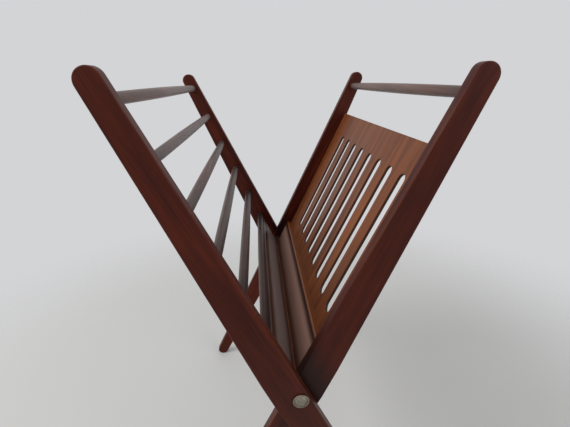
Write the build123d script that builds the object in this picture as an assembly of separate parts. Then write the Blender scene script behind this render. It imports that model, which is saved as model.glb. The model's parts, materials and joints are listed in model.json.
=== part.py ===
from build123d import *

import os
from math import atan2, cos, pi, radians, sin, tan

# Folding magazine rack: two wooden frames that cross on a pivot and open into a V.
# The outer frame has six turned rungs and a bottom board. The inner frame has one turned
# rung, a slotted panel and a bottom board. The boards meet in the valley of the V, and that
# stops the rack opening further. Millimetres, +Z up, floor at Z = 0, X = 0 at the crossing,
# Y = 0 halfway along the rack. The front of the rack is at -Y.
#
# Every wooden piece is drawn upright beside the pivot and then leaned over. Upright, X is
# the offset from the pivot, growing towards the inside of the V, and Z is the place along
# the leg, counted up from the pivot.

# Main sizes
OPEN_HALF_ANGLE = 25.7
RACK_LENGTH = 360.0
LEG_THICK = 10.0
LEG_GAP = 1.0

# Leg outline. The edge that faces into the V is straight, and the other one is tapered.
LEG_ABOVE = 300.0
LEG_BELOW = 265.0
LEG_INNER_EDGE = 8.0
LEG_WIDTH_PIVOT = 32.0
LEG_WIDTH_TOP = 17.0
LEG_WIDTH_FOOT = 17.0
LEG_TOP_FLAT = 0.22
LEG_FOOT_FLAT = 2.6
LEG_BELLY_ROUND = 600.0
LEG_ARRIS = 1.0
FOOT_CUT = 0.87

# Joinery
LEG_SKIN = 3.0
GLUE_GAP = 0.05
HOLE_DEEPER = 0.3
GROOVE_DEEPER = 0.2

# Turned rungs
RUNG_TOP_DOWN = 21.0
RUNG_COUNT = 6
RUNG_MID_DIA = 10.2
RUNG_END_DIA = 8.4
RUNG_TAPER_LONG = 40.0
RUNG_SHOULDER = 0.5
RUNG_BOARD_CLEAR = 0.6

# Bottom boards
BOARD_THICK = 10.0
BOARD_FACE = -2.5
BOARD_ARRIS = 1.5
BOARD_VALLEY_ROUND = 4.0
BOARD_MEET_GAP = 0.4
BOARD_END_CLEAR = 0.6
OUTER_BOARD_TOP = 45.3
INNER_BOARD_TOP = 38.0

# Dowels that hold the boards between the legs
DOWEL_DIA = 6.0
DOWEL_IN_BOARD = 14.0
OUTER_DOWEL_DOWN = 5.8
OUTER_DOWEL_APART = 11.5
INNER_DOWEL_DOWN = 10.0
INNER_DOWEL_APART = 20.0

# Slotted panel
PANEL_THICK = 4.6
PANEL_SETBACK = 0.9
PANEL_TOP_DOWN = 62.0
PANEL_IN_GROOVE = 4.0
PANEL_ARRIS = 0.5
SLOT_COUNT = 8
SLOT_WIDTH = 18.0
SLOT_END_MARGIN = 26.1
SLOT_LOW_MARGIN = 22.0
SLOT_TOP_MARGIN = 32.0

# Pivot hardware
BOLT_DIA = 6.0
BOLT_RUNNING_CLEAR = 0.05
BOLT_HEAD_DIA = 14.4
BOLT_HEAD_CLEAR = 0.1
BOLT_RIM_THICK = 1.3
BOLT_RIM_WIDTH = 1.7
BOLT_RIM_CHAMFER = 0.5
BOLT_DOME_RISE = 1.6
BOLT_END_SHORT = 1.2
INSERT_WALL = 1.5
INSERT_SHORT = 0.5
WASHER_DIA = 13.0
WASHER_SIDE_CLEAR = 0.15
WASHER_BORE_CLEAR = 0.3

# Places along Y, counted out from the middle of the rack
HALF = RACK_LENGTH / 2
OUTER_SPAN = HALF - LEG_THICK
INNER_FACE_OUT = OUTER_SPAN - LEG_GAP
INNER_SPAN = INNER_FACE_OUT - LEG_THICK
PEG_IN_LEG = LEG_THICK - LEG_SKIN

# Places along the leg
ANGLE = radians(OPEN_HALF_ANGLE)
BOARD_LIFT = (BOARD_VALLEY_ROUND - BOARD_FACE) * cos(ANGLE)
BOARD_LOW = (BOARD_MEET_GAP / 2 + BOARD_VALLEY_ROUND - BOARD_LIFT) / sin(ANGLE) - BOARD_VALLEY_ROUND
BOARD_MIDDLE = BOARD_FACE - BOARD_THICK / 2
RUNG_HIGH = LEG_ABOVE - RUNG_TOP_DOWN
RUNG_LOW = OUTER_BOARD_TOP + RUNG_BOARD_CLEAR + RUNG_MID_DIA / 2
RUNG_PITCH = (RUNG_HIGH - RUNG_LOW) / (RUNG_COUNT - 1)
RUNG_PLACES = [RUNG_HIGH - RUNG_PITCH * n for n in range(RUNG_COUNT)]
OUTER_DOWELS = [OUTER_BOARD_TOP - OUTER_DOWEL_DOWN - OUTER_DOWEL_APART * n for n in (0, 1)]
INNER_DOWELS = [INNER_BOARD_TOP - INNER_DOWEL_DOWN - INNER_DOWEL_APART * n for n in (0, 1)]

# Panel and its slots
PANEL_FACE = BOARD_FACE - PANEL_SETBACK
PANEL_TOP = LEG_ABOVE - PANEL_TOP_DOWN
PANEL_LOW = INNER_BOARD_TOP - PANEL_IN_GROOVE
SLOT_BOTTOM = INNER_BOARD_TOP + SLOT_LOW_MARGIN
SLOT_TOP = PANEL_TOP - SLOT_TOP_MARGIN
SLOT_PITCH = (2 * (INNER_SPAN - SLOT_END_MARGIN) - SLOT_WIDTH) / (SLOT_COUNT - 1)

# Holes
RUNG_TENON_DIA = RUNG_END_DIA - 2 * RUNG_SHOULDER
RUNG_HOLE_DIA = RUNG_TENON_DIA + 2 * GLUE_GAP
DOWEL_HOLE_DIA = DOWEL_DIA + 2 * GLUE_GAP
PIVOT_HOLE_DIA = BOLT_DIA + 2 * BOLT_RUNNING_CLEAR
INSERT_DIA = BOLT_DIA + 2 * INSERT_WALL


def tapered_edge(pos):
    """Offset of the leg's tapered edge at a place along the leg."""
    reach = LEG_ABOVE if pos >= 0 else LEG_BELOW
    tip = LEG_WIDTH_TOP if pos >= 0 else LEG_WIDTH_FOOT
    width = LEG_WIDTH_PIVOT - (LEG_WIDTH_PIVOT - tip) * abs(pos) / reach
    return LEG_INNER_EDGE - width


def leg_middle(pos):
    """Offset of the middle of the leg's width at a place along the leg."""
    return (LEG_INNER_EDGE + tapered_edge(pos)) / 2


def end_round(width, flat, reach):
    """Radius of both corners of a leg's end, which leaves a short flat between them."""
    taper = atan2(LEG_WIDTH_PIVOT - width, reach)
    return (width - flat) / (1 + tan(pi / 4 - taper / 2))


def foot_round_centre():
    """Offset and place of the middle of the corner that the leg stands on."""
    radius = end_round(LEG_WIDTH_FOOT, LEG_FOOT_FLAT, LEG_BELOW)
    taper = atan2(LEG_WIDTH_PIVOT - LEG_WIDTH_FOOT, LEG_BELOW)
    pos = radius - LEG_BELOW
    return tapered_edge(pos) + radius / cos(taper), pos


def pivot_height():
    """Height of the pivot, with the flats cut under the feet at Z = 0."""
    radius = end_round(LEG_WIDTH_FOOT, LEG_FOOT_FLAT, LEG_BELOW)
    offset, pos = foot_round_centre()
    return radius - FOOT_CUT - pos * cos(ANGLE) - offset * sin(ANGLE)


def foot_place():
    """How far along X the middle of a foot's flat is from the pivot."""
    offset, pos = foot_round_centre()
    return offset * cos(ANGLE) - pos * sin(ANGLE)


PIVOT_Z = pivot_height()


def block(low, high):
    """Box between two corners."""
    size = [b - a for a, b in zip(low, high)]
    middle = [(a + b) / 2 for a, b in zip(low, high)]
    return Pos(*middle) * Box(*size)


def rod(offset, pos, y_low, y_high, dia):
    """Round bar along Y, at an offset and a place along the leg."""
    bar = Cylinder(dia / 2, y_high - y_low, rotation=(90, 0, 0))
    return Pos(offset, (y_low + y_high) / 2, pos) * bar


def stand_outer(shape):
    """Lean an upright outer-frame piece to the left and lift it to the pivot."""
    return Pos(0, 0, PIVOT_Z) * Rot(0, -OPEN_HALF_ANGLE, 0) * shape


def stand_inner(shape):
    """Turn an upright piece round for the inner frame, lean it right and lift it."""
    return Pos(0, 0, PIVOT_Z) * Rot(0, OPEN_HALF_ANGLE, 0) * mirror(shape, Plane.YZ)


def leg_blank(y_low):
    """Upright leg with rounded ends and softened edges."""
    top, foot = LEG_ABOVE, -LEG_BELOW
    corners = [
        (LEG_INNER_EDGE, foot),
        (LEG_INNER_EDGE, top),
        (LEG_INNER_EDGE - LEG_WIDTH_TOP, top),
        (LEG_INNER_EDGE - LEG_WIDTH_PIVOT, 0),
        (LEG_INNER_EDGE - LEG_WIDTH_FOOT, foot),
    ]
    top_round = end_round(LEG_WIDTH_TOP, LEG_TOP_FLAT, LEG_ABOVE)
    foot_round = end_round(LEG_WIDTH_FOOT, LEG_FOOT_FLAT, LEG_BELOW)
    outline = make_face(Polyline(*corners, close=True))
    outline = fillet(outline.vertices().sort_by(Axis.Y)[-2:], top_round)
    outline = fillet(outline.vertices().sort_by(Axis.Y)[:2], foot_round)
    outline = fillet(outline.vertices().sort_by(Axis.X)[0], LEG_BELLY_ROUND)
    solid = Pos(0, y_low, 0) * Rot(90, 0, 0) * extrude(outline, -LEG_THICK)
    return chamfer(solid.edges().filter_by(Plane.XZ), LEG_ARRIS)


def blind_hole(offset, pos, face, depth, dia):
    """Hole sunk into a leg from its face on the inside of the rack."""
    out = 1 if face > 0 else -1
    ends = sorted([face + out * depth, face - out * LEG_THICK])
    return rod(offset, pos, *ends, dia)


def rung_hole(pos, face):
    """Hole for a rung's tenon."""
    return blind_hole(leg_middle(pos), pos, face, PEG_IN_LEG + HOLE_DEEPER, RUNG_HOLE_DIA)


def dowel_hole(pos, face):
    """Hole for a dowel of a bottom board."""
    return blind_hole(BOARD_MIDDLE, pos, face, PEG_IN_LEG + HOLE_DEEPER, DOWEL_HOLE_DIA)


def outer_leg(front):
    """Leg of the outer frame with its rung, dowel and pivot holes."""
    face = -OUTER_SPAN if front else OUTER_SPAN
    leg = leg_blank(-HALF if front else OUTER_SPAN)
    for pos in RUNG_PLACES:
        leg -= rung_hole(pos, face)
    for pos in OUTER_DOWELS:
        leg -= dowel_hole(pos, face)
    leg -= rod(0, 0, -RACK_LENGTH, RACK_LENGTH, PIVOT_HOLE_DIA)
    return cut_foot(stand_outer(leg))


def inner_leg(front):
    """Leg of the inner frame with its holes and the groove for the panel."""
    face = -INNER_SPAN if front else INNER_SPAN
    leg = leg_blank(-INNER_FACE_OUT if front else INNER_SPAN)
    leg -= rung_hole(RUNG_HIGH, face)
    for pos in INNER_DOWELS:
        leg -= dowel_hole(pos, face)
    leg -= leg_groove(face)
    leg -= rod(0, 0, -RACK_LENGTH, RACK_LENGTH, INSERT_DIA)
    return cut_foot(stand_inner(leg))


def leg_groove(face):
    """Stopped groove in an inner leg that holds the end of the panel."""
    out = 1 if face > 0 else -1
    y_low, y_high = sorted([face + out * (PANEL_IN_GROOVE + GROOVE_DEEPER), face - out * LEG_THICK])
    low = (PANEL_FACE - PANEL_THICK - GLUE_GAP, y_low, PANEL_LOW - GROOVE_DEEPER)
    return block(low, (PANEL_FACE + GLUE_GAP, y_high, PANEL_TOP + GLUE_GAP))


def cut_foot(leg):
    """Flat on the foot where it stands on the floor."""
    reach = LEG_ABOVE + LEG_BELOW
    return leg - block((-reach, -reach, -reach), (reach, reach, 0))


def rung(pos, span):
    """Turned rung that tapers towards its ends, with a round tenon at each end."""
    middle, neck, tenon = RUNG_MID_DIA / 2, RUNG_END_DIA / 2, RUNG_TENON_DIA / 2
    straight, end = span - RUNG_TAPER_LONG, span + PEG_IN_LEG
    half = [(middle, straight), (neck, span), (tenon, span), (tenon, end), (0, end)]
    other_half = [(radius, -y) for radius, y in reversed(half)]
    turned = revolve(make_face(Polyline(*other_half, *half, close=True)), Axis.Y)
    return Pos(leg_middle(pos), 0, pos) * turned


def board(span, top, places):
    """Bottom board with rounded long edges and dowel holes in both ends."""
    low = (BOARD_FACE - BOARD_THICK, -span, BOARD_LOW)
    plank = block(low, (BOARD_FACE, span, top))
    low_edges = plank.edges().filter_by(Axis.Y).group_by(Axis.Z)[0]
    plank = fillet(low_edges.sort_by(Axis.X)[-1], BOARD_VALLEY_ROUND)
    levels = plank.edges().filter_by(Axis.Y).group_by(Axis.Z)
    plank = fillet([*levels[-1], levels[0].sort_by(Axis.X)[0]], BOARD_ARRIS)
    hole_end = span - DOWEL_IN_BOARD - HOLE_DEEPER
    for pos in places:
        plank -= rod(BOARD_MIDDLE, pos, hole_end, HALF, DOWEL_HOLE_DIA)
        plank -= rod(BOARD_MIDDLE, pos, -HALF, -hole_end, DOWEL_HOLE_DIA)
    return plank


def outer_board():
    """Board between the inner legs, hung from the outer legs on dowels."""
    return stand_outer(board(INNER_SPAN - BOARD_END_CLEAR, OUTER_BOARD_TOP, OUTER_DOWELS))


def inner_board():
    """Board that closes the foot of the slotted panel, with a groove for it."""
    low = (PANEL_FACE - PANEL_THICK - GLUE_GAP, -HALF, PANEL_LOW - GROOVE_DEEPER)
    groove = block(low, (PANEL_FACE + GLUE_GAP, HALF, INNER_BOARD_TOP + BOARD_THICK))
    return stand_inner(board(INNER_SPAN, INNER_BOARD_TOP, INNER_DOWELS) - groove)


def dowels(places, leg_face, board_end):
    """Upright set of the dowels that join a bottom board to its two legs."""
    near, far = board_end - DOWEL_IN_BOARD, leg_face + PEG_IN_LEG
    right = [rod(BOARD_MIDDLE, pos, near, far, DOWEL_DIA) for pos in places]
    left = [rod(BOARD_MIDDLE, pos, -far, -near, DOWEL_DIA) for pos in places]
    return right + left


def slotted_panel():
    """Thin panel with a row of long slots with round ends."""
    reach = INNER_SPAN + PANEL_IN_GROOVE
    sheet = block((PANEL_FACE - PANEL_THICK, -reach, PANEL_LOW), (PANEL_FACE, reach, PANEL_TOP))
    slot = SlotOverall(SLOT_TOP - SLOT_BOTTOM, SLOT_WIDTH, rotation=90)
    cutter = extrude(Plane.YZ * slot, PANEL_THICK, both=True)
    for n in range(SLOT_COUNT):
        y = (n - (SLOT_COUNT - 1) / 2) * SLOT_PITCH
        sheet -= Pos(PANEL_FACE - PANEL_THICK / 2, y, (SLOT_BOTTOM + SLOT_TOP) / 2) * cutter
    faces = sheet.faces().filter_by(Axis.X)
    rims = [edge for face in faces for wire in face.inner_wires() for edge in wire.edges()]
    top_edges = sheet.edges().filter_by(Axis.Y).group_by(Axis.Z)[-1]
    return stand_inner(chamfer(rims + list(top_edges), PANEL_ARRIS))


def dome_cap(radius, rise):
    """Low spherical cap on the XY plane."""
    ball = (radius**2 + rise**2) / (2 * rise)
    return Pos(0, 0, rise - ball) * Sphere(ball) & Pos(0, 0, rise) * Cylinder(radius, 2 * rise)


def bolt_front():
    """Pivot bolt: rim and domed head outside the outer leg, shank into the insert."""
    seat = -HALF - BOLT_HEAD_CLEAR
    tip = -INNER_SPAN - BOLT_END_SHORT
    rim = extrude(Circle(BOLT_HEAD_DIA / 2), BOLT_RIM_THICK)
    rim = chamfer(rim.edges().sort_by(Axis.Z)[-1], BOLT_RIM_CHAMFER)
    dome = dome_cap(BOLT_HEAD_DIA / 2 - BOLT_RIM_WIDTH, BOLT_DOME_RISE)
    head = rim + Pos(0, 0, BOLT_RIM_THICK) * dome
    return Pos(0, seat, 0) * Rot(90, 0, 0) * head + rod(0, 0, seat, tip, BOLT_DIA)


def insert_front():
    """Threaded insert in the inner leg that takes the bolt."""
    sleeve = rod(0, 0, -INNER_FACE_OUT + INSERT_SHORT, -INNER_SPAN - INSERT_SHORT, INSERT_DIA)
    return sleeve - rod(0, 0, -HALF, 0, BOLT_DIA)


def washer_front():
    """Thin washer on the bolt between the two legs."""
    ring = rod(0, 0, -OUTER_SPAN, -INNER_FACE_OUT - WASHER_SIDE_CLEAR, WASHER_DIA)
    return ring - rod(0, 0, -HALF, 0, BOLT_DIA + 2 * WASHER_BORE_CLEAR)


def at_pivot(shape, back):
    """Lift pivot hardware to the pivot, turned end for end for the back."""
    if back:
        shape = mirror(shape, Plane.XZ)
    return Pos(0, 0, PIVOT_Z) * shape


def build_parts():
    """Every piece of the rack by name."""
    parts = {
        "outer_leg_front": outer_leg(True),
        "outer_leg_back": outer_leg(False),
        "inner_leg_front": inner_leg(True),
        "inner_leg_back": inner_leg(False),
        "outer_bottom_board": outer_board(),
        "inner_bottom_board": inner_board(),
        "slotted_panel": slotted_panel(),
    }
    for number, pos in enumerate(RUNG_PLACES, start=1):
        parts[f"outer_rung_{number}"] = stand_outer(rung(pos, OUTER_SPAN))
    parts["inner_top_rung"] = stand_inner(rung(RUNG_HIGH, INNER_SPAN))
    outer_pegs = dowels(OUTER_DOWELS, OUTER_SPAN, INNER_SPAN - BOARD_END_CLEAR)
    inner_pegs = dowels(INNER_DOWELS, INNER_SPAN, INNER_SPAN)
    parts["outer_board_dowels"] = Compound([stand_outer(peg) for peg in outer_pegs])
    parts["inner_board_dowels"] = Compound([stand_inner(peg) for peg in inner_pegs])
    for place, back in (("front", False), ("back", True)):
        parts[f"pivot_bolt_{place}"] = at_pivot(bolt_front(), back)
        parts[f"pivot_insert_{place}"] = at_pivot(insert_front(), back)
        parts[f"pivot_washer_{place}"] = at_pivot(washer_front(), back)
    return parts


if __name__ == "__main__":
    os.makedirs("parts", exist_ok=True)
    for name, shape in build_parts().items():
        export_step(shape, f"parts/{name}.step")
    print("pivot height", round(PIVOT_Z, 3))
    print("foot flats from the pivot", round(foot_place(), 3))
    print("rung places", [round(pos, 2) for pos in RUNG_PLACES])
    print("slot pitch", round(SLOT_PITCH, 3), "board low", round(BOARD_LOW, 3))
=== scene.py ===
"""Folding magazine rack: the looks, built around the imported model. Metres, +Z up, front at -Y."""

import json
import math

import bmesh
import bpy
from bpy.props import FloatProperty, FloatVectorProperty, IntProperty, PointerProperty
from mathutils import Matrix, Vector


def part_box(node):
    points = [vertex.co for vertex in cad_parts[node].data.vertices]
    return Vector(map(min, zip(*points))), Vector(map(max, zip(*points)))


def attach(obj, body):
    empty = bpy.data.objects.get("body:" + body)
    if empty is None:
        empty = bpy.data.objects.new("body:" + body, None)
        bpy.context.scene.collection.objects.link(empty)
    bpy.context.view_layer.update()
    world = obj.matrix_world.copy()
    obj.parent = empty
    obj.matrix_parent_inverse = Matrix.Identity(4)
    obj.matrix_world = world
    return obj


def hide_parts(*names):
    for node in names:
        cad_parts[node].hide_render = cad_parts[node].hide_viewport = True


bl_info = {
    "name": "Folding magazine rack",
    "version": (1, 0, 0),
    "blender": (4, 5, 0),
    "location": "View3D > Sidebar > Magazine rack",
    "description": "Builds a folding magazine rack with two crossed wooden frames",
    "category": "Add Mesh",
}

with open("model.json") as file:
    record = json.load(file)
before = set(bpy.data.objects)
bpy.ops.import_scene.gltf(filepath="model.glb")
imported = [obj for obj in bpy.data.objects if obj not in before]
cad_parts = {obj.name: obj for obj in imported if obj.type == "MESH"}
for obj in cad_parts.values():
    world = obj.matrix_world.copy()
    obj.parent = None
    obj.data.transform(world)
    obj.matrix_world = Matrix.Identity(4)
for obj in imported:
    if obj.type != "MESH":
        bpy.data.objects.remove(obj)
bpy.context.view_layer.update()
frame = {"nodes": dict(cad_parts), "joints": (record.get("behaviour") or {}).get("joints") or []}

MM = 0.001

# Places taken from the frame
PIVOT = Vector(frame["joints"][0]["pos_m"])
OUTER_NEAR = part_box("outer_leg_back")[0].y
OUTER_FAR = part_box("outer_leg_back")[1].y
INNER_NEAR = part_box("inner_leg_back")[0].y
INNER_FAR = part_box("inner_leg_back")[1].y
BOARD_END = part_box("outer_bottom_board")[1].y
PANEL_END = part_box("slotted_panel")[1].y
RUNG_COUNT = sum(1 for name in frame["nodes"] if name.startswith("outer_rung_"))

# The camera that took the photograph, fitted to its 570 by 427 pixels
PHOTO_SIZE = (570, 427)
PHOTO_FOCAL_PX = 357.67
SENSOR_WIDTH_MM = 36.0
CAMERA_PLACE = Vector((-0.0290, -0.4123, 0.5004))
CAMERA_YAW = 0.0755
CAMERA_PITCH = 0.3572
CAMERA_ROLL = -0.0154

# How finely curved forms are divided
ARC_STEP = math.radians(9)
HOLE_PARTS = 40
LATHE_PARTS = 48
SLOT_END_PARTS = 14
RUNG_STATIONS = 24
DOME_STEPS = 7
BEVEL_STEPS = 3
SHARP_ANGLE = math.radians(50)
WELD_DISTANCE = 0.01 * MM

# Small sizes that no user would change
RUNG_IN_LEG = 3 * MM
BOARD_END_ARRIS = 0.4 * MM
HEAD_OFF_LEG = 0.1 * MM
DOME_RISE = 1.55 * MM
DOME_CURVE = 0.9

# The bolt's flat rim, as (height above the leg, distance in from its edge), in millimetres
RIM_OUTLINE = ((0.0, 0.2), (0.2, 0.0), (0.9, 0.0), (1.2, 0.25), (1.3, 0.7))
# The ring groove in it, as (height above the leg, distance out from the dome), in millimetres
GROOVE_OUTLINE = ((1.3, 0.5), (0.9, 0.2), (1.3, -0.3))
RIM_TOP = 1.3 * MM

# Where finishes and the painted shade, shadow, sheen and highlight change, as (share of a distance,
# strength) stops
# Painted shadow cast by an outer leg on an inner leg beside the crossing
CROSSING_SHADOW_REACH = 100 * MM
CROSSING_SHADOW_STOPS = ((0.0, 0.0), (0.07, 0.78), (0.2, 0.72), (0.42, 0.0))
# Painted grey sheen inside the boards, standing in for the reflection of the pale room
BOARD_SHEEN_STOPS = ((0.16, 0.0), (0.32, 0.9), (0.74, 0.9), (0.88, 0.0))
# Painted shadow along a board's top edge
BOARD_TOP_SHADOW_STOPS = ((0.88, 0.0), (0.91, 0.9), (0.93, 0.9), (0.96, 0.0))
BOARD_LIP_STOPS = ((0.94, 0.0), (0.97, 0.8))
# Painted highlight along the outer board's rounded edge in the valley
VALLEY_HIGHLIGHT_STOPS = ((0.02, 0.0), (0.045, 1.0), (0.09, 1.0), (0.12, 0.3), (0.2, 0.0))
INNER_FACE_STOPS = ((0.7, 0.0), (0.95, 1.0))
VALLEY_FACE_STOPS = ((0.1, 0.0), (0.4, 1.0))
# Painted shade on the walls of the slots
SLOT_WALL_SHADE_STOPS = ((0.1, 0.9), (0.4, 0.0))
# Painted shade at the rungs' ends, stronger on each lower rung
RUNG_END_SHADE_SPAN = (0.3, 0.9)
RUNG_END_SHADE_FIRST, RUNG_END_SHADE_STEP, RUNG_END_SHADE_MOST = 0.35, 0.12, 0.9

# The stage, in metres
FLOOR_REACH = 8.0
FLOOR_FADE = (0.36, 1.0)
LAMP_TARGET = (0, 0, 0.25)
LAMP_SIZE = 1.2
WINDOW_PLACE, WINDOW_TINT = (-1.5, -0.3, 1.9), (1.0, 0.99, 0.97)
FILL_PLACE, FILL_TINT = (1.4, -1.0, 0.9), (0.95, 0.97, 1.0)


def length(name, description, value):
    """A size property in metres, given in millimetres."""
    return FloatProperty(name=name, description=description, default=value * MM, unit="LENGTH")


def colour(name, description, value):
    """A colour property."""
    return FloatVectorProperty(
        name=name, description=description, default=value, subtype="COLOR", min=0.0, max=1.0
    )


class RackSizes(bpy.types.PropertyGroup):
    """Sizes of the wooden pieces and of the pivot bolts."""

    half_angle: FloatProperty(
        name="Half angle",
        description="Lean of each frame from upright when the rack is open",
        default=math.radians(25.7),
        subtype="ANGLE",
    )
    leg_above: length("Leg above pivot", "From the pivot to the top of a leg", 300.0)
    leg_below: length("Leg below pivot", "From the pivot to the foot of a leg", 265.0)
    leg_edge: length("Leg straight edge", "From the pivot to the leg's straight edge", 8.0)
    leg_wide: length("Leg width", "Width of a leg at the pivot", 32.0)
    leg_tip: length("Leg tip width", "Width of a leg at both ends", 17.0)
    leg_top_round: length("Top corner", "Corner radius at the top of a leg", 8.6)
    leg_foot_round: length("Foot corner", "Corner radius at the foot of a leg", 7.38)
    leg_belly: length("Leg belly", "Radius where the two tapers meet", 600.0)
    leg_arris: length("Leg arris", "Rounding of a leg's long edges", 1.0)
    rung_down: length("Top rung", "From the top of a leg to the top rung", 21.0)
    rung_low: length("Lowest rung", "From the pivot to the lowest rung", 51.0)
    rung_mid: length("Rung middle", "Diameter of a rung at its middle", 10.2)
    rung_end: length("Rung end", "Diameter of a rung at its ends", 8.4)
    board_face: length("Board face", "From the pivot line to a board's face", 2.5)
    board_thick: length("Board thickness", "Thickness of the bottom boards", 10.0)
    board_arris: length("Board arris", "Rounding of a board's long edges", 1.5)
    board_valley: length("Board meeting edge", "Rounding of the edges that meet", 4.0)
    board_gap: length("Board gap", "Space left between the two boards where they meet", 0.02)
    outer_board_top: length("Outer board top", "From the pivot to the outer board's top", 45.3)
    inner_board_top: length("Inner board top", "From the pivot to the inner board's top", 38.0)
    panel_face: length("Panel face", "From the pivot line to the panel's face", 9.0)
    panel_thick: length("Panel thickness", "Thickness of the slotted panel", 3)
    panel_low: length("Panel foot", "From the pivot to the panel's lower edge", 34.0)
    panel_top: length("Panel top", "From the pivot to the panel's top edge", 238)
    panel_arris: length("Panel arris", "Rounding of the panel's edges", 0.5)
    slot_low: length("Slot foot", "From the pivot to the lower end of a slot", 55)
    slot_top: length("Slot top", "From the pivot to the upper end of a slot", 207)
    slot_width: length("Slot width", "Width of a slot", 13)
    slot_margin: length("Slot margin", "From a leg to the row of slots, before its shift", 40.5)
    slot_shift: length("Slot shift", "How far the row of slots sits towards the front", 5.0)
    slot_count: IntProperty(name="Slots", description="How many slots the panel has", default=8)
    bolt_bore: length("Bolt bore", "Diameter of the pivot hole in an outer leg", 6.1)
    insert_bore: length("Insert bore", "Diameter of the insert's hole in an inner leg", 9.0)
    bolt_shank: length("Bolt shank", "Diameter of the pivot bolt", 6.0)
    bolt_head: length("Bolt head", "Diameter of the bolt's flat rim", 14.4)
    bolt_dome: length("Bolt dome", "Diameter of the dome on the bolt's head", 10.6)


class RackColours(bpy.types.PropertyGroup):
    """Colours of the finishes, of the painted shade, sheen and highlight, and of the room."""

    leg_dark: colour("Leg dark", "Darkest grain of the legs", (0.036, 0.005, 0.003))
    leg_light: colour("Leg light", "Lightest grain of the legs", (0.104, 0.015, 0.005))
    # Painted shade: each lower rung darker and less glossy than the one above
    rung_step: FloatProperty(
        name="Rung step",
        description="How much darker each rung is than the one above",
        default=0.11,
        min=0,
        max=0.16,
    )
    rung_dark: colour("Rung dark", "Darkest grain of the rungs", (0.060, 0.029, 0.022))
    rung_light: colour("Rung light", "Lightest grain of the rungs", (0.162, 0.080, 0.060))
    board_dark: colour("Board dark", "Darkest grain of the boards", (0.030, 0.010, 0.007))
    board_light: colour("Board light", "Lightest grain of the boards", (0.105, 0.040, 0.026))
    panel_dark: colour("Panel dark", "Darkest grain of the panel", (0.098, 0.026, 0.008))
    panel_light: colour("Panel light", "Lightest grain of the panel", (0.259, 0.077, 0.021))
    # Painted shade on the walls of the slots
    slot_wall_shade: colour("Slot wall", "Stain gathered on the walls of the slots", (0.026, 0.011, 0.007))
    # Painted grey sheen inside the boards, standing in for the reflection of the pale room
    painted_sheen: colour("Faded", "Greyed finish inside the outer board", (0.340, 0.280, 0.270))
    painted_sheen_warm: colour("Faded warm", "Greyed finish inside the inner board", (0.440, 0.260, 0.205))
    # Painted highlight along the valley of the boards
    valley: colour("Valley", "Finish rubbed through along the valley of the boards", (0.700, 0.300, 0.180))
    # Painted shade: the outer leg's shadow on the inner legs, the rungs' ends and the boards' top edges
    painted_shade: colour("Grime", "Dark finish in corners and at the rungs' ends", (0.010, 0.006, 0.005))
    wear: colour("Wear", "Bare wood where an edge has worn", (0.300, 0.135, 0.070))
    nickel: colour("Nickel", "Dull plate of the bolt heads", (0.320, 0.285, 0.225))
    brass: colour("Brass", "Brass of the inserts", (0.550, 0.380, 0.150))
    steel: colour("Steel", "Steel of the washers", (0.350, 0.340, 0.320))
    dowel: colour("Dowel", "Plain wood of the dowels", (0.420, 0.260, 0.140))
    floor: colour("Floor", "The pale floor", (0.612, 0.613, 0.605))
    backdrop: colour("Backdrop", "The pale backdrop", (0.655, 0.658, 0.674))


class RackLight(bpy.types.PropertyGroup):
    """Strength of the studio's lamps and world."""

    window: FloatProperty(name="Window", description="Power of the large lamp, in watts", default=22.0)
    fill: FloatProperty(name="Fill", description="Power of the fill lamp, in watts", default=5.0)
    world: FloatProperty(name="World", description="Strength of the light from all round", default=0.6)


def sizes():
    """The sizes that the pieces are made to."""
    return bpy.context.scene.rack_sizes


def colours():
    """The colours of the finishes."""
    return bpy.context.scene.rack_colours


def rounded(corners, radii):
    """Closed outline with each corner replaced by an arc of its own radius."""
    outline = []
    count = len(corners)
    for n, radius in enumerate(radii):
        corner = Vector(corners[n])
        to_last = (Vector(corners[n - 1]) - corner).normalized()
        to_next = (Vector(corners[(n + 1) % count]) - corner).normalized()
        half = to_last.angle(to_next) / 2
        centre = corner + (to_last + to_next).normalized() * radius / math.sin(half)
        start = corner + to_last * radius / math.tan(half) - centre
        turn = math.pi - 2 * half
        side = 1 if to_last.x * to_next.y - to_last.y * to_next.x < 0 else -1
        parts = max(2, math.ceil(turn / ARC_STEP))
        for k in range(parts + 1):
            outline.append(centre + Matrix.Rotation(side * turn * k / parts, 2) @ start)
    return outline


def circle(radius):
    """Closed round outline about the origin."""
    turns = [2 * math.pi * k / HOLE_PARTS for k in range(HOLE_PARTS)]
    return [Vector((radius * math.cos(t), radius * math.sin(t))) for t in turns]


def plate_mesh(name, loops, thick, arris):
    """Flat plate from an outline and its holes, centred on the XY plane, with rounded edges."""
    curve = bpy.data.curves.new(name, "CURVE")
    curve.dimensions = "2D"
    curve.fill_mode = "BOTH"
    curve.extrude = thick / 2 - arris
    curve.bevel_depth = arris
    curve.bevel_resolution = BEVEL_STEPS
    curve.offset = -arris
    for loop in loops:
        spline = curve.splines.new("POLY")
        spline.points.add(len(loop) - 1)
        for point, place in zip(spline.points, loop):
            point.co = (place.x, place.y, 0, 1)
        spline.use_cyclic_u = True
    holder = bpy.data.objects.new(name, curve)
    bpy.context.scene.collection.objects.link(holder)
    bpy.context.view_layer.update()
    mesh = bpy.data.meshes.new_from_object(holder.evaluated_get(bpy.context.evaluated_depsgraph_get()))
    bpy.data.objects.remove(holder)
    bpy.data.curves.remove(curve)
    form = bmesh.new()
    form.from_mesh(mesh)
    bmesh.ops.remove_doubles(form, verts=form.verts, dist=WELD_DISTANCE)
    bmesh.ops.recalc_face_normals(form, faces=form.faces)
    form.to_mesh(mesh)
    form.free()
    mesh.name = name
    return mesh


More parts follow.
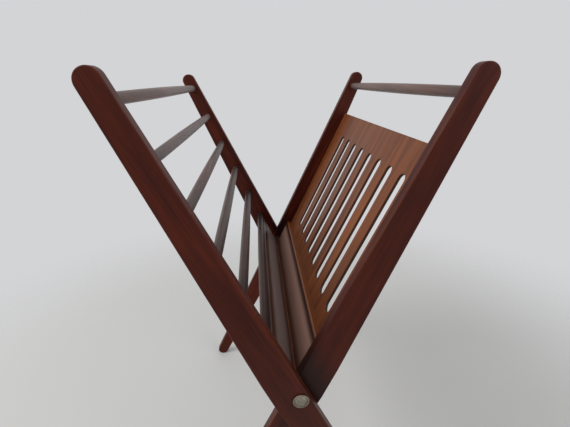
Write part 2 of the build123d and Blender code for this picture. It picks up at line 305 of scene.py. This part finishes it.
def lathe_mesh(name, profile):
    """Round solid along Y from (place, radius) pairs whose first and last radius are 0."""
    form = bmesh.new()
    rings = []
    turns = [2 * math.pi * k / LATHE_PARTS for k in range(LATHE_PARTS)]
    for place, radius in profile[1:-1]:
        rings.append([form.verts.new((radius * math.cos(t), place, radius * math.sin(t))) for t in turns])
    for low, high in zip(rings, rings[1:]):
        for k in range(LATHE_PARTS):
            form.faces.new((low[k], low[k - 1], high[k - 1], high[k]))
    for ring, place in ((rings[0], profile[0][0]), (rings[-1], profile[-1][0])):
        tip = form.verts.new((0, place, 0))
        for k in range(LATHE_PARTS):
            form.faces.new((ring[k], ring[k - 1], tip))
    bmesh.ops.recalc_face_normals(form, faces=form.faces)
    mesh = bpy.data.meshes.new(name)
    form.to_mesh(mesh)
    form.free()
    return mesh


def add_piece(name, mesh, place, body, material, node):
    """Put a finished mesh in the scene, on its body, in place of its CAD node."""
    mesh.transform(place)
    mesh.materials.clear()
    mesh.materials.append(material)
    mesh.shade_smooth()
    mesh.set_sharp_from_angle(angle=SHARP_ANGLE)
    piece = bpy.data.objects.new(name, mesh)
    bpy.context.scene.collection.objects.link(piece)
    normals = piece.modifiers.new("Even shading", "WEIGHTED_NORMAL")
    normals.keep_sharp = True
    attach(piece, body)
    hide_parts(node)
    return piece


def lean_angle(inner):
    """How far a frame is turned from upright, about Y."""
    return sizes().half_angle if inner else -sizes().half_angle


def lean(inner):
    """Place of a frame's own upright axes: at the pivot, leaned over."""
    return Matrix.Translation(PIVOT) @ Matrix.Rotation(lean_angle(inner), 4, "Y")


def leg_outline(inner):
    """Outline of a leg as (offset, place) pairs, turned round for the inner frame."""
    s = sizes()
    side = -1 if inner else 1
    corners = [
        (s.leg_edge, -s.leg_below),
        (s.leg_edge, s.leg_above),
        (s.leg_edge - s.leg_tip, s.leg_above),
        (s.leg_edge - s.leg_wide, 0),
        (s.leg_edge - s.leg_tip, -s.leg_below),
    ]
    radii = [s.leg_foot_round, s.leg_top_round, s.leg_top_round, s.leg_belly, s.leg_foot_round]
    return rounded([(side * x, y) for x, y in corners], radii)


def leg_middle(pos):
    """Offset of the middle of a leg's width at a place above the pivot."""
    s = sizes()
    width = s.leg_wide - (s.leg_wide - s.leg_tip) * pos / s.leg_above
    return s.leg_edge - width / 2


def make_leg(name, inner, back):
    """One leg with its bolt hole, cut flat where it stands on the floor."""
    s = sizes()
    near, far = (INNER_NEAR, INNER_FAR) if inner else (OUTER_NEAR, OUTER_FAR)
    middle = (near + far) / 2 * (1 if back else -1)
    bore = s.insert_bore if inner else s.bolt_bore
    mesh = plate_mesh(name, [leg_outline(inner), circle(bore / 2)], far - near, s.leg_arris)
    mesh.transform(Matrix.Translation((0, middle, 0)) @ Matrix.Rotation(math.pi / 2, 4, "X"))
    place = lean(inner)
    form = bmesh.new()
    form.from_mesh(mesh)
    floor = place.inverted() @ Vector((0, 0, 0))
    up = place.inverted().to_3x3() @ Vector((0, 0, 1))
    geometry = form.verts[:] + form.edges[:] + form.faces[:]
    cut = bmesh.ops.bisect_plane(form, geom=geometry, plane_co=floor, plane_no=up, clear_inner=True)
    rim = [part for part in cut["geom_cut"] if isinstance(part, bmesh.types.BMEdge)]
    bmesh.ops.holes_fill(form, edges=rim, sides=0)
    form.to_mesh(mesh)
    form.free()
    body = "inner_frame" if inner else "outer_frame"
    return add_piece(name + "_wood", mesh, place, body, leg_wood(name, inner), name)


def rung_profile(half_length):
    """Profile of a rung, thickest in the middle, with softened shoulders."""
    s = sizes()
    swell = (s.rung_mid - s.rung_end) / 2
    profile = [(-half_length, 0)]
    for k in range(RUNG_STATIONS + 1):
        share = 2 * k / RUNG_STATIONS - 1
        profile.append((share * half_length, s.rung_mid / 2 - swell * share**2))
    return profile + [(half_length, 0)]


def make_rung(name, inner, pos):
    """One turned rung between the two legs of a frame."""
    span = (INNER_NEAR if inner else OUTER_NEAR) + RUNG_IN_LEG
    mesh = lathe_mesh(name, rung_profile(span))
    side = -1 if inner else 1
    body = "inner_frame" if inner else "outer_frame"
    place = lean(inner) @ Matrix.Translation((side * leg_middle(pos), 0, pos))
    return add_piece(name + "_wood", mesh, place, body, rung_wood(name), name)


def board_low():
    """Place of the boards' lower edges, where their rounded edges meet in the valley."""
    s = sizes()
    lift = (s.board_valley + s.board_face) * math.cos(s.half_angle)
    return (s.board_gap / 2 + s.board_valley - lift) / math.sin(s.half_angle) - s.board_valley


def make_board(name, inner, half_length, top):
    """One bottom board with rounded long edges."""
    s = sizes()
    side = -1 if inner else 1
    near, far, low = -s.board_face, -s.board_face - s.board_thick, board_low()
    corners = [(near, low), (near, top), (far, top), (far, low)]
    outline = rounded([(side * x, y) for x, y in corners], [s.board_valley] + [s.board_arris] * 3)
    mesh = plate_mesh(name, [outline], 2 * half_length, BOARD_END_ARRIS)
    mesh.transform(Matrix.Rotation(math.pi / 2, 4, "X"))
    body = "inner_frame" if inner else "outer_frame"
    return add_piece(name + "_wood", mesh, lean(inner), body, board_wood(name, inner), name)


def slot_outline(middle):
    """Outline of one slot with round ends, as (along the rack, up the panel) pairs."""
    s = sizes()
    radius = s.slot_width / 2
    low, high = s.slot_low + radius, s.slot_top - radius
    turns = [math.pi * k / SLOT_END_PARTS for k in range(SLOT_END_PARTS + 1)]
    top = [Vector((middle + radius * math.cos(t), high + radius * math.sin(t))) for t in turns]
    foot = [Vector((middle - radius * math.cos(t), low - radius * math.sin(t))) for t in turns]
    return top + foot


def make_panel():
    """The slotted panel."""
    s = sizes()
    low, high = s.panel_low, s.panel_top
    corners = ((-PANEL_END, low), (PANEL_END, low), (PANEL_END, high), (-PANEL_END, high))
    loops = [[Vector(corner) for corner in corners]]
    reach = INNER_NEAR - s.slot_margin - s.slot_width / 2
    for n in range(s.slot_count):
        loops.append(slot_outline(reach * (2 * n / (s.slot_count - 1) - 1) - s.slot_shift))
    mesh = plate_mesh("slotted_panel", loops, s.panel_thick, s.panel_arris)
    upright = Matrix(((0, 0, 1, 0), (1, 0, 0, 0), (0, 1, 0, 0), (0, 0, 0, 1)))
    mesh.transform(Matrix.Translation((s.panel_face + s.panel_thick / 2, 0, 0)) @ upright)
    name = "slotted_panel"
    return add_piece(name + "_wood", mesh, lean(True), "inner_frame", panel_wood(), name)


def make_bolt(name, back):
    """Pivot bolt: a flat rim round a low dome, with the shank behind it."""
    s = sizes()
    low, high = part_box(name)
    seat, tip = OUTER_FAR + HEAD_OFF_LEG, abs(low.y if back else high.y)
    rim, dome, shank = s.bolt_head / 2, s.bolt_dome / 2, s.bolt_shank / 2
    profile = [(tip, 0), (tip, shank), (seat, shank)]
    profile += [(seat + up * MM, rim - inset * MM) for up, inset in RIM_OUTLINE]
    profile += [(seat + up * MM, dome + out * MM) for up, out in GROOVE_OUTLINE]
    for k in range(1, DOME_STEPS):
        left = 1 - k / DOME_STEPS
        profile.append((seat + RIM_TOP + DOME_RISE * (1 - left**2), dome * left**DOME_CURVE))
    profile.append((seat + RIM_TOP + DOME_RISE, 0))
    if not back:
        profile = [(-place, radius) for place, radius in profile]
    mesh = lathe_mesh(name, profile)
    place = Matrix.Translation(PIVOT)
    return add_piece(name + "_plate", mesh, place, "inner_frame", aged_nickel(), name)


def add_node(tree, kind, **values):
    """New shader node with its own fields and input sockets set by name."""
    made = tree.nodes.new(kind)
    for name, value in values.items():
        socket = name.replace("_", " ").title()
        if hasattr(made, name):
            setattr(made, name, value)
        else:
            made.inputs[socket].default_value = value
    return made


def ramp(tree, source, stops):
    """Colour ramp over a value, from (place, colour) stops."""
    made = tree.nodes.new("ShaderNodeValToRGB")
    elements = made.color_ramp.elements
    while len(elements) < len(stops):
        elements.new(0.5)
    for element, (place, tone) in zip(elements, stops):
        element.position = place
        element.color = (*tone, 1) if hasattr(tone, "__len__") else (tone, tone, tone, 1)
    tree.links.new(source, made.inputs["Fac"])
    return made.outputs["Color"]


def mix(tree, factor, low, high, blend="MIX"):
    """Mix of two colours, each a socket or a fixed colour."""
    made = tree.nodes.new("ShaderNodeMix")
    made.data_type = "RGBA"
    made.blend_type = blend
    for socket, value in ((made.inputs["Factor"], factor), (made.inputs[6], low), (made.inputs[7], high)):
        if isinstance(value, bpy.types.NodeSocket):
            tree.links.new(value, socket)
        else:
            socket.default_value = value
    return made.outputs[2]


def new_material(name):
    """Empty material with its shader and the shader's tree."""
    material = bpy.data.materials.new(name)
    material.use_nodes = True
    tree = material.node_tree
    return material, tree, tree.nodes["Principled BSDF"]


def grain_noise(tree, grain, scale, stretch, detail, shift, distortion=0.0):
    """Noise drawn out along the grain, which is an axis and a lean about Y."""
    axis, angle = grain
    coords = tree.nodes.new("ShaderNodeTexCoord")
    mapping = add_node(tree, "ShaderNodeMapping", vector_type="TEXTURE")
    mapping.inputs["Location"].default_value = PIVOT + Vector((shift, shift * 0.7, shift * 1.3))
    mapping.inputs["Rotation"].default_value = (0, angle, 0)
    mapping.inputs["Scale"].default_value = [stretch if name == axis else 1 for name in "XYZ"]
    tree.links.new(coords.outputs["Object"], mapping.inputs["Vector"])
    noise = add_node(tree, "ShaderNodeTexNoise", scale=scale, detail=detail, distortion=distortion)
    tree.links.new(mapping.outputs["Vector"], noise.inputs["Vector"])
    return noise.outputs["Fac"]


def stained_wood(name, dark, light, grain, shift, roughness, gloss=0.22, dust=0.0, figure=150.0, wear=0.3):
    """Stained and varnished wood: figure, cloudy stain, fine fibres and worn edges."""
    material, tree, shader = new_material(name)
    figure_noise = grain_noise(tree, grain, figure, 14.0, 5.0, shift, 0.6)
    patches = grain_noise(tree, grain, 16.0, 3.0, 3.0, shift + 3.0)
    fibre = grain_noise(tree, grain, 1100.0, 40.0, 3.0, shift)
    middle = [(a + b) / 2 for a, b in zip(dark, light)]
    wood = ramp(tree, figure_noise, [(0.25, tuple(dark)), (0.52, tuple(middle)), (0.78, tuple(light))])
    wood = mix(tree, 1.0, wood, ramp(tree, patches, [(0.28, 0.74), (0.72, 1.28)]), "MULTIPLY")
    wood = mix(tree, 0.55, wood, ramp(tree, fibre, [(0.32, 0.55), (0.5, 1.0), (0.75, 1.18)]), "MULTIPLY")
    geometry = tree.nodes.new("ShaderNodeNewGeometry")
    edges = ramp(tree, geometry.outputs["Pointiness"], [(0.515, 0.0), (0.56, wear)])
    scuffs = ramp(tree, grain_noise(tree, grain, 90.0, 5.0, 4.0, shift + 7.0), [(0.45, 0.0), (0.62, 1.0)])
    edges = mix(tree, 1.0, edges, scuffs, "MULTIPLY")
    tree.links.new(mix(tree, edges, wood, (*colours().wear, 1)), shader.inputs["Base Color"])
    sheen = ramp(tree, patches, [(0.3, roughness - 0.06), (0.7, roughness + 0.07)])
    tree.links.new(sheen, shader.inputs["Roughness"])
    shader.inputs["Specular IOR Level"].default_value = gloss
    shader.inputs["Sheen Weight"].default_value = dust
    shader.inputs["Sheen Roughness"].default_value = 0.35
    bump = add_node(tree, "ShaderNodeBump", strength=0.25, distance=0.12 * MM)
    tree.links.new(fibre, bump.inputs["Height"])
    tree.links.new(bump.outputs["Normal"], shader.inputs["Normal"])
    return material


def shade_part(tree, amount, tone):
    """Blend a finish towards one tone where an amount is high."""
    shader = tree.nodes["Principled BSDF"]
    blend = mix(tree, amount, shader.inputs["Base Color"].links[0].from_socket, (*tone, 1))
    tree.links.new(blend, shader.inputs["Base Color"])


def leaning_place(tree, inner, start, span):
    """Place along a frame's own leaning axes from a start, as a share of a span."""
    mapping = add_node(tree, "ShaderNodeMapping", vector_type="TEXTURE")
    mapping.inputs["Location"].default_value = lean(inner) @ Vector((0, 0, start))
    mapping.inputs["Rotation"].default_value = (0, lean_angle(inner), 0)
    mapping.inputs["Scale"].default_value = (span, span, span)
    tree.links.new(tree.nodes.new("ShaderNodeTexCoord").outputs["Object"], mapping.inputs["Vector"])
    parted = tree.nodes.new("ShaderNodeSeparateXYZ")
    tree.links.new(mapping.outputs["Vector"], parted.inputs[0])
    return parted.outputs


def facing(tree, inner):
    """How far the surface faces along a frame's own X, from -1 to 1."""
    angle = lean_angle(inner)
    turned = add_node(tree, "ShaderNodeVectorMath", operation="DOT_PRODUCT")
    turned.inputs[1].default_value = (math.cos(angle), 0, -math.sin(angle))
    tree.links.new(tree.nodes.new("ShaderNodeTexCoord").outputs["Normal"], turned.inputs[0])
    return turned.outputs["Value"]


def product(tree, first, second):
    """Product of two values."""
    made = add_node(tree, "ShaderNodeMath", operation="MULTIPLY")
    tree.links.new(first, made.inputs[0])
    if isinstance(second, bpy.types.NodeSocket):
        tree.links.new(second, made.inputs[1])
    else:
        made.inputs[1].default_value = second
    return made.outputs[0]


def grain_shift(name):
    """A place in the grain of a piece's own, so that no two pieces look alike."""
    return sum(ord(letter) * (n + 1) for n, letter in enumerate(name)) % 97 * 0.37


def leg_wood(name, inner):
    """Dark red-brown finish of a leg, with a painted shadow on an inner leg beside the crossing, where the
    outer leg shades it.
    """
    tones = colours()
    material = stained_wood(
        name + "_wood",
        tones.leg_dark,
        tones.leg_light,
        ("Z", lean_angle(inner)),
        grain_shift(name),
        roughness=0.40,
        gloss=0.15,
    )
    if inner:
        tree = material.node_tree
        # Painted shadow of the outer leg, across from its edge, above the crossing
        across = leaning_place(tree, False, 0, CROSSING_SHADOW_REACH)["X"]
        shade_part(tree, ramp(tree, across, CROSSING_SHADOW_STOPS), tones.painted_shade)
    return material


def rung_wood(name):
    """Dark brown finish of a rung, with painted shade at its ends and on each lower rung, which also has
    less gloss and dust.
    """
    tones = colours()
    below = int(name[-1]) - 1 if name[-1].isdigit() else 0
    # Painted shade: each lower rung is darker and less glossy
    strength = 1 - tones.rung_step * below
    dark, light = ([strength * part for part in tone] for tone in (tones.rung_dark, tones.rung_light))
    material = stained_wood(
        name + "_wood",
        dark,
        light,
        ("Y", 0),
        grain_shift(name),
        roughness=0.42,
        gloss=0.4 * strength,
        dust=0.1 * strength,
    )
    tree = material.node_tree
    # Painted shade at both ends of the rung, beside the legs
    along = leaning_place(tree, False, 0, INNER_NEAR)["Y"]
    start, end = RUNG_END_SHADE_SPAN
    most = min(RUNG_END_SHADE_MOST, RUNG_END_SHADE_FIRST + RUNG_END_SHADE_STEP * below)
    shade_part(tree, ramp(tree, product(tree, along, along), [(start, 0.0), (end, most)]), tones.painted_shade)
    return material


def board_wood(name, inner):
    """Dark finish of a bottom board, with a painted grey sheen on its inner face, a painted shadow along
    its top edge and a painted highlight along the valley.
    """
    s, tones = sizes(), colours()
    material = stained_wood(
        name + "_wood",
        tones.board_dark,
        tones.board_light,
        ("Y", lean_angle(inner)),
        grain_shift(name),
        roughness=0.30,
        gloss=0.55,
        wear=0.05,
    )
    tree = material.node_tree
    top = s.inner_board_top if inner else s.outer_board_top
    height = leaning_place(tree, inner, board_low(), top - board_low())["Z"]
    inwards = product(tree, facing(tree, inner), -1.0 if inner else 1.0)
    # Painted grey sheen on the inner face of the board
    painted_sheen_band = product(tree, ramp(tree, height, BOARD_SHEEN_STOPS), ramp(tree, inwards, INNER_FACE_STOPS))
    shade_part(tree, painted_sheen_band, tones.painted_sheen_warm if inner else tones.painted_sheen)
    # Painted shadow along the board's top edge
    shade_part(tree, ramp(tree, height, BOARD_TOP_SHADOW_STOPS), tones.painted_shade)
    if inner:
        shade_part(tree, ramp(tree, height, BOARD_LIP_STOPS), tones.panel_light)
    else:
        # Painted highlight along the outer board's rounded edge in the valley
        line = product(tree, ramp(tree, height, VALLEY_HIGHLIGHT_STOPS), ramp(tree, inwards, VALLEY_FACE_STOPS))
        shade_part(tree, line, tones.valley)
    return material


def panel_wood():
    """Warm brown finish of the slotted panel, with painted shade on the walls of its slots."""
    tones = colours()
    material = stained_wood(
        "panel_wood",
        tones.panel_dark,
        tones.panel_light,
        ("Z", lean_angle(True)),
        shift=2.1,
        roughness=0.42,
        figure=110.0,
        wear=0.1,
    )
    tree = material.node_tree
    # Painted shade on the slot walls, which face neither the front nor the back of the panel
    turned = facing(tree, True)
    walls = ramp(tree, product(tree, turned, turned), SLOT_WALL_SHADE_STOPS)
    shade_part(tree, walls, tones.slot_wall_shade)
    return material


def metal(name, tone, roughness, spots):
    """Dull metal with cloudy patina."""
    material, tree, shader = new_material(name)
    clouds = grain_noise(tree, ("Y", 0), 420.0, 1.0, 5.0, 0.3)
    dark = tuple(part * spots for part in tone)
    tree.links.new(ramp(tree, clouds, [(0.35, dark), (0.65, tuple(tone))]), shader.inputs["Base Color"])
    dullness = ramp(tree, clouds, [(0.3, roughness + 0.12), (0.7, roughness)])
    tree.links.new(dullness, shader.inputs["Roughness"])
    shader.inputs["Metallic"].default_value = 1.0
    bump = add_node(tree, "ShaderNodeBump", strength=0.2, distance=0.1 * MM)
    tree.links.new(clouds, bump.inputs["Height"])
    tree.links.new(bump.outputs["Normal"], shader.inputs["Normal"])
    return material


def aged_nickel():
    """Dull nickel plate of the bolts."""
    return bpy.data.materials.get("aged_nickel") or metal("aged_nickel", colours().nickel, 0.38, 0.68)


def dress_node(name, material):
    """Give a CAD node that stays its finish."""
    node = frame["nodes"][name]
    if not node.material_slots:
        node.data.materials.append(material)
    for slot in node.material_slots:
        slot.material = material


class RACK_OT_legs(bpy.types.Operator):
    """Make the four tapered legs"""

    bl_idname = "rack.legs"
    bl_label = "Legs"

    def execute(self, context):
        for inner in (False, True):
            for back in (False, True):
                name = ("inner" if inner else "outer") + "_leg_" + ("back" if back else "front")
                make_leg(name, inner, back)
        return {"FINISHED"}


class RACK_OT_rungs(bpy.types.Operator):
    """Make the turned rungs of both frames"""

    bl_idname = "rack.rungs"
    bl_label = "Rungs"

    def execute(self, context):
        s = sizes()
        high = s.leg_above - s.rung_down
        pitch = (high - s.rung_low) / (RUNG_COUNT - 1)
        for n in range(RUNG_COUNT):
            make_rung(f"outer_rung_{n + 1}", False, high - pitch * n)
        make_rung("inner_top_rung", True, high)
        return {"FINISHED"}


class RACK_OT_boards(bpy.types.Operator):
    """Make the two bottom boards that meet in the valley"""

    bl_idname = "rack.boards"
    bl_label = "Bottom boards"

    def execute(self, context):
        make_board("outer_bottom_board", False, BOARD_END, sizes().outer_board_top)
        make_board("inner_bottom_board", True, INNER_NEAR, sizes().inner_board_top)
        return {"FINISHED"}


class RACK_OT_panel(bpy.types.Operator):
    """Make the thin panel with its row of slots"""

    bl_idname = "rack.panel"
    bl_label = "Slotted panel"

    def execute(self, context):
        make_panel()
        return {"FINISHED"}


class RACK_OT_hardware(bpy.types.Operator):
    """Make the pivot bolts and finish the washers, inserts and dowels"""

    bl_idname = "rack.hardware"
    bl_label = "Pivot hardware"

    def execute(self, context):
        tones = colours()
        make_bolt("pivot_bolt_front", False)
        make_bolt("pivot_bolt_back", True)
        brass = metal("turned_brass", tones.brass, 0.35, 0.7)
        steel = metal("dull_steel", tones.steel, 0.45, 0.6)
        pale = [part * 0.6 for part in tones.dowel]
        dowel = stained_wood("dowel_wood", pale, tones.dowel, ("Y", 0), 0.4, 0.6, wear=0.0)
        for place in ("front", "back"):
            dress_node("pivot_insert_" + place, brass)
            dress_node("pivot_washer_" + place, steel)
        for frame_name in ("outer", "inner"):
            dress_node(frame_name + "_board_dowels", dowel)
        return {"FINISHED"}


def add_camera():
    """Camera where the photograph was taken from."""
    data = bpy.data.cameras.new("camera")
    data.sensor_width = SENSOR_WIDTH_MM
    data.lens = PHOTO_FOCAL_PX * SENSOR_WIDTH_MM / PHOTO_SIZE[0]
    data.clip_start = 0.01
    camera = bpy.data.objects.new("camera", data)
    bpy.context.scene.collection.objects.link(camera)
    flat = math.cos(CAMERA_PITCH)
    ahead = Vector((math.sin(CAMERA_YAW) * flat, math.cos(CAMERA_YAW) * flat, -math.sin(CAMERA_PITCH)))
    right = Vector((math.cos(CAMERA_YAW), -math.sin(CAMERA_YAW), 0))
    up = right.cross(ahead)
    tilt = Matrix.Rotation(-CAMERA_ROLL, 3, ahead)
    turned = Matrix((tilt @ right, tilt @ up, -ahead)).transposed()
    camera.matrix_world = Matrix.Translation(CAMERA_PLACE) @ turned.to_4x4()
    bpy.context.scene.camera = camera


def add_lamp(name, place, power, tint):
    """Large soft lamp aimed at the middle of the rack."""
    data = bpy.data.lights.new(name, "AREA")
    data.shape = "DISK"
    data.size = LAMP_SIZE
    data.energy = power
    data.color = tint
    lamp = bpy.data.objects.new(name, data)
    bpy.context.scene.collection.objects.link(lamp)
    lamp.location = place
    lamp.rotation_euler = (Vector(LAMP_TARGET) - Vector(place)).to_track_quat("-Z", "Y").to_euler()
    lamp.visible_camera = False


def pale_world(strength):
    """World that lights softly and shows the pale backdrop to the eye and in reflections."""
    world = bpy.data.worlds.new("pale_room")
    bpy.context.scene.world = world
    world.use_nodes = True
    tree = world.node_tree
    light = tree.nodes["Background"]
    light.inputs["Color"].default_value = (1.0, 1.0, 1.0, 1)
    light.inputs["Strength"].default_value = strength
    seen = tree.nodes.new("ShaderNodeBackground")
    seen.inputs["Color"].default_value = (*colours().backdrop, 1)
    seen.inputs["Strength"].default_value = 1.0
    path = tree.nodes.new("ShaderNodeLightPath")
    either = add_node(tree, "ShaderNodeMath", operation="MAXIMUM")
    tree.links.new(path.outputs["Is Camera Ray"], either.inputs[0])
    tree.links.new(path.outputs["Is Glossy Ray"], either.inputs[1])
    any_seen = add_node(tree, "ShaderNodeMath", operation="MAXIMUM")
    tree.links.new(either.outputs[0], any_seen.inputs[0])
    tree.links.new(path.outputs["Is Transmission Ray"], any_seen.inputs[1])
    blend = tree.nodes.new("ShaderNodeMixShader")
    tree.links.new(any_seen.outputs[0], blend.inputs[0])
    tree.links.new(light.outputs[0], blend.inputs[1])
    tree.links.new(seen.outputs[0], blend.inputs[2])
    tree.links.new(blend.outputs[0], tree.nodes["World Output"].inputs["Surface"])


def add_floor():
    """Plain pale floor that fades into the backdrop far from the rack."""
    mesh = bpy.data.meshes.new("floor")
    turns = [math.radians(5 * k) for k in range(72)]
    rim = [(FLOOR_REACH * math.cos(t), FLOOR_REACH * math.sin(t), 0) for t in turns]
    mesh.from_pydata(rim, [], [list(range(len(rim)))])
    floor = bpy.data.objects.new("floor", mesh)
    bpy.context.scene.collection.objects.link(floor)
    material, tree, shader = new_material("pale_floor")
    shader.inputs["Base Color"].default_value = (*colours().floor, 1)
    shader.inputs["Roughness"].default_value = 0.55
    coords = tree.nodes.new("ShaderNodeTexCoord")
    far = add_node(tree, "ShaderNodeVectorMath", operation="LENGTH")
    tree.links.new(coords.outputs["Object"], far.inputs[0])
    fade = add_node(tree, "ShaderNodeMapRange", interpolation_type="SMOOTHERSTEP")
    fade.inputs["From Min"].default_value, fade.inputs["From Max"].default_value = FLOOR_FADE
    tree.links.new(far.outputs["Value"], fade.inputs["Value"])
    clear = tree.nodes.new("ShaderNodeBsdfTransparent")
    blend = tree.nodes.new("ShaderNodeMixShader")
    tree.links.new(fade.outputs["Result"], blend.inputs[0])
    tree.links.new(shader.outputs[0], blend.inputs[1])
    tree.links.new(clear.outputs[0], blend.inputs[2])
    tree.links.new(blend.outputs[0], tree.nodes["Material Output"].inputs["Surface"])
    mesh.materials.append(material)


class RACK_OT_stage(bpy.types.Operator):
    """Set up the floor, the lamps and the camera"""

    bl_idname = "rack.stage"
    bl_label = "Floor, light and camera"

    def execute(self, context):
        levels = context.scene.rack_light
        context.scene.view_settings.view_transform = "Standard"
        add_camera()
        add_floor()
        pale_world(levels.world)
        add_lamp("window", WINDOW_PLACE, levels.window, WINDOW_TINT)
        add_lamp("fill", FILL_PLACE, levels.fill, FILL_TINT)
        return {"FINISHED"}


class RACK_PT_panel(bpy.types.Panel):
    """Buttons that build the rack, and its sizes and colours"""

    bl_idname = "RACK_PT_panel"
    bl_label = "Magazine rack"
    bl_space_type = "VIEW_3D"
    bl_region_type = "UI"
    bl_category = "Magazine rack"

    def draw(self, context):
        for operator in OPERATORS:
            self.layout.operator(operator.bl_idname)
        for group in (context.scene.rack_sizes, context.scene.rack_colours, context.scene.rack_light):
            box = self.layout.box()
            for name in group.__annotations__:
                box.prop(group, name)


OPERATORS = (RACK_OT_legs, RACK_OT_rungs, RACK_OT_boards, RACK_OT_panel, RACK_OT_hardware, RACK_OT_stage)
GROUPS = {"rack_sizes": RackSizes, "rack_colours": RackColours, "rack_light": RackLight}


def register():
    """Add the properties, the operators and the panel to Blender."""
    for group in GROUPS.values():
        bpy.utils.register_class(group)
    for name, group in GROUPS.items():
        setattr(bpy.types.Scene, name, PointerProperty(type=group))
    for made in (*OPERATORS, RACK_PT_panel):
        bpy.utils.register_class(made)


def unregister():
    """Take them out again."""
    for made in (RACK_PT_panel, *reversed(OPERATORS)):
        bpy.utils.unregister_class(made)
    for name in GROUPS:
        delattr(bpy.types.Scene, name)
    for group in reversed(GROUPS.values()):
        bpy.utils.unregister_class(group)


def main():
    """Build the whole rack."""
    register()
    bpy.ops.rack.stage()
    bpy.ops.rack.legs()
    bpy.ops.rack.rungs()
    bpy.ops.rack.boards()
    bpy.ops.rack.panel()
    bpy.ops.rack.hardware()
    bpy.context.view_layer.update()


if __name__ == "__main__":
    main()
